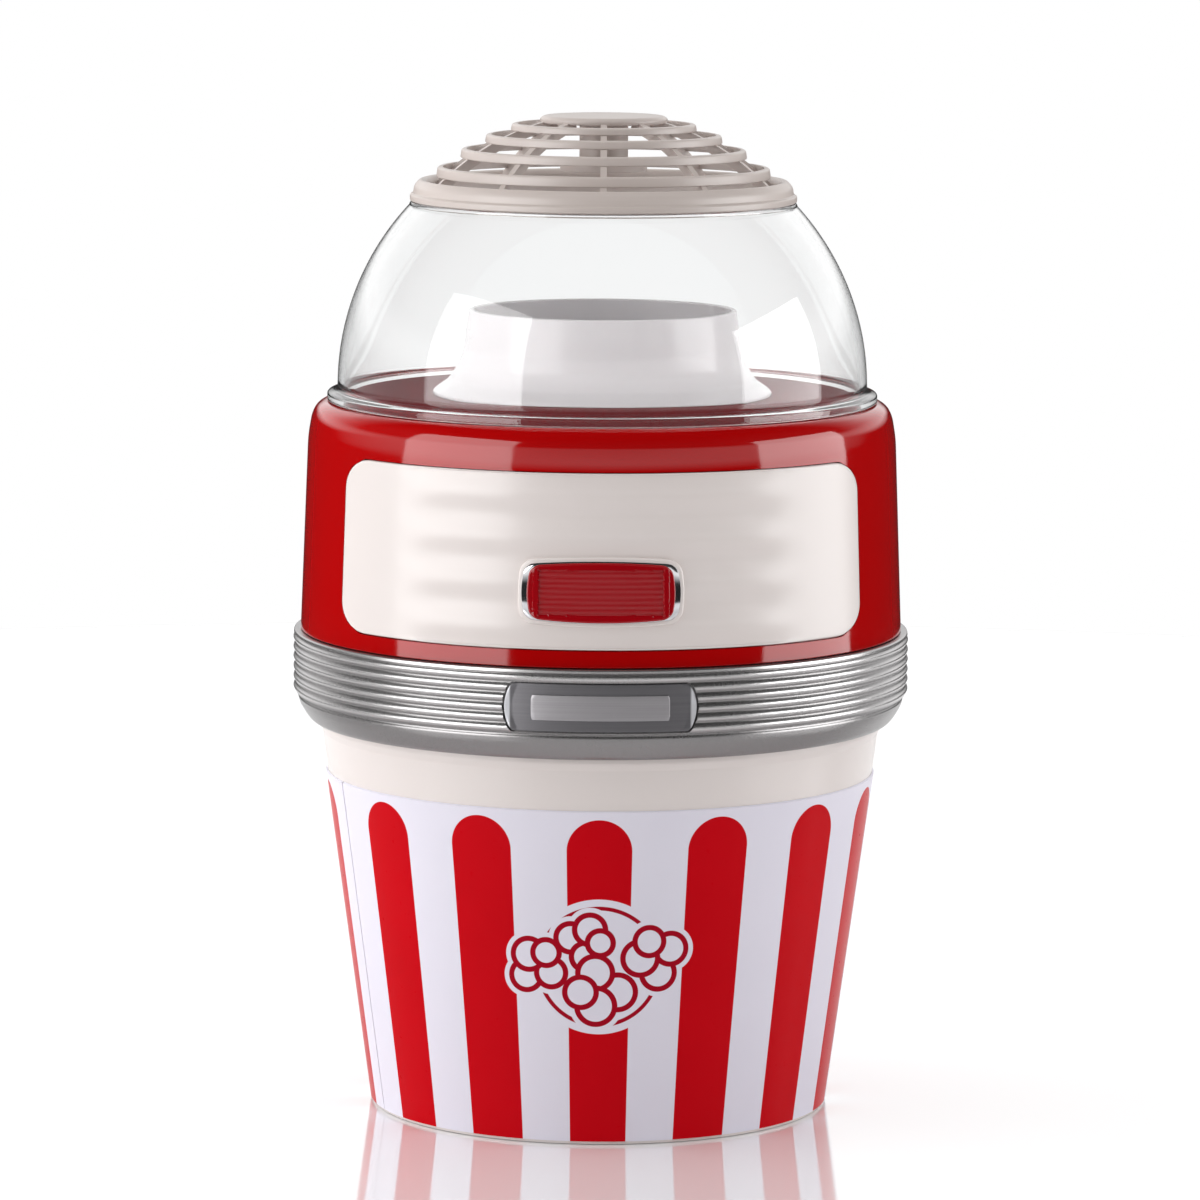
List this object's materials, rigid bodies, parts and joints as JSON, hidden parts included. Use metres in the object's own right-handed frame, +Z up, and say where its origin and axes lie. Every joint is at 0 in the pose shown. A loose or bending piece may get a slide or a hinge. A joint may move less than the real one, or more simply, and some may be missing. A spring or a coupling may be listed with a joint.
{
  "type": "popcorn maker",
  "caption": "Hot-air popcorn maker shaped like a striped tub, with a red upper housing, a silver trim band and a clear domed lid with a vent grille.",
  "frame": {"origin": "centre of the feet, on the surface that the machine stands on", "axes": "+Z up, -Y towards the side with the badge, +X to the right seen from the front"},
  "size_m": [0.217, 0.217, 0.35],
  "materials": {
    "cream_plastic": "warm off-white, softly glossy",
    "printed_label": "satin printed film, white with red arched stripes and a round emblem",
    "silver_trim": "silver lacquered, semi-gloss",
    "nameplate_metal": "dark grey brushed",
    "label_metal": "light grey satin",
    "red_plastic": "high gloss red",
    "badge_red": "deep red with fine grooves",
    "chrome_trim": "polished",
    "clear_plastic": "clear polycarbonate",
    "white_plastic": "white, softly glossy",
    "aluminium_sheet": "spun sheet",
    "silicone_rubber": "heat-proof silicone",
    "steel_sheet": "zinc plated",
    "mica_sheet": "layered mica",
    "heater_wire": "oxidised resistance wire",
    "black_plastic": "moulded black",
    "ceramic_fuse": "ceramic-cased fuse",
    "bronze": "sintered bronze",
    "steel_rod": "turned steel",
    "copper_winding": "enamelled copper on steel laminations",
    "magnet_ferrite": "ferrite",
    "circuit_board": "glass-fibre board",
    "black_rubber": "moulded rubber",
    "switch_red": "satin red",
    "wire_sleeve": "silicone sleeve"
  },
  "bodies": {
    "machine": {"tub": "cream_plastic", "front_panel": "cream_plastic", "tub_label": "printed_label", "trim_band": "silver_trim", "nameplate": "nameplate_metal", "nameplate_sticker": "label_metal", "upper_housing": "red_plastic", "popcorn_deck": "red_plastic", "badge_plate": "badge_red", "badge_frame": "chrome_trim", "popping_chamber": "aluminium_sheet", "chamber_gasket": "silicone_rubber", "heat_duct": "steel_sheet", "heater_frame": "mica_sheet", "heater_coil": "heater_wire", "thermostat": "black_plastic", "thermal_fuse": "ceramic_fuse", "fan_shroud": "black_plastic", "inner_chassis": "white_plastic", "motor_mount": "steel_sheet", "motor_can": "steel_sheet", "motor_end_cap": "black_plastic", "motor_bush_upper": "bronze", "motor_bush_lower": "bronze", "motor_magnet_left": "magnet_ferrite", "motor_magnet_right": "magnet_ferrite", "rectifier_board": "circuit_board", "base_plate": "black_plastic", "cord_grommet": "black_rubber", "terminal_block": "white_plastic", "switch_body": "black_plastic", "wire_inlet_to_terminal": "wire_sleeve", "wire_terminal_to_switch": "wire_sleeve", "wire_switch_to_thermostat": "wire_sleeve", "wire_terminal_to_motor": "wire_sleeve", "rubber_foot_rear_left": "black_rubber", "housing_screw_rear_left": "steel_rod", "base_screw_rear_left": "steel_rod", "rubber_foot_front_left": "black_rubber", "housing_screw_front_left": "steel_rod", "base_screw_front_left": "steel_rod", "rubber_foot_front_right": "black_rubber", "housing_screw_front_right": "steel_rod", "base_screw_front_right": "steel_rod", "rubber_foot_rear_right": "black_rubber", "housing_screw_rear_right": "steel_rod", "base_screw_rear_right": "steel_rod", "motor_screw_left": "steel_rod", "motor_screw_right": "steel_rod"},
    "lid": {"dome_shell": "clear_plastic", "vent_grille": "cream_plastic"},
    "funnel": {"popcorn_funnel": "white_plastic"},
    "fan_rotor": {"fan_impeller": "white_plastic", "motor_shaft": "steel_rod", "motor_armature": "copper_winding"},
    "rocker": {"switch_rocker": "switch_red"}
  },
  "joints": [
    {"name": "lid_lift", "type": "slide", "parent": "machine", "child": "lid", "axis": [0, 0, 1], "range_m": [0, 0.12]},
    {"name": "funnel_lift", "type": "slide", "parent": "machine", "child": "funnel", "axis": [0, 0, 1], "range_m": [0, 0.03]},
    {"name": "fan_spin", "type": "hinge", "parent": "machine", "child": "fan_rotor", "pos_m": [0, 0, 0.0995], "axis": [0, 0, 1], "continuous": true},
    {"name": "power_rocker", "type": "hinge", "parent": "machine", "child": "rocker", "pos_m": [0, 0.10413, 0.205], "axis": [1, 0, 0], "range_deg": [0, 16]}
  ]
}
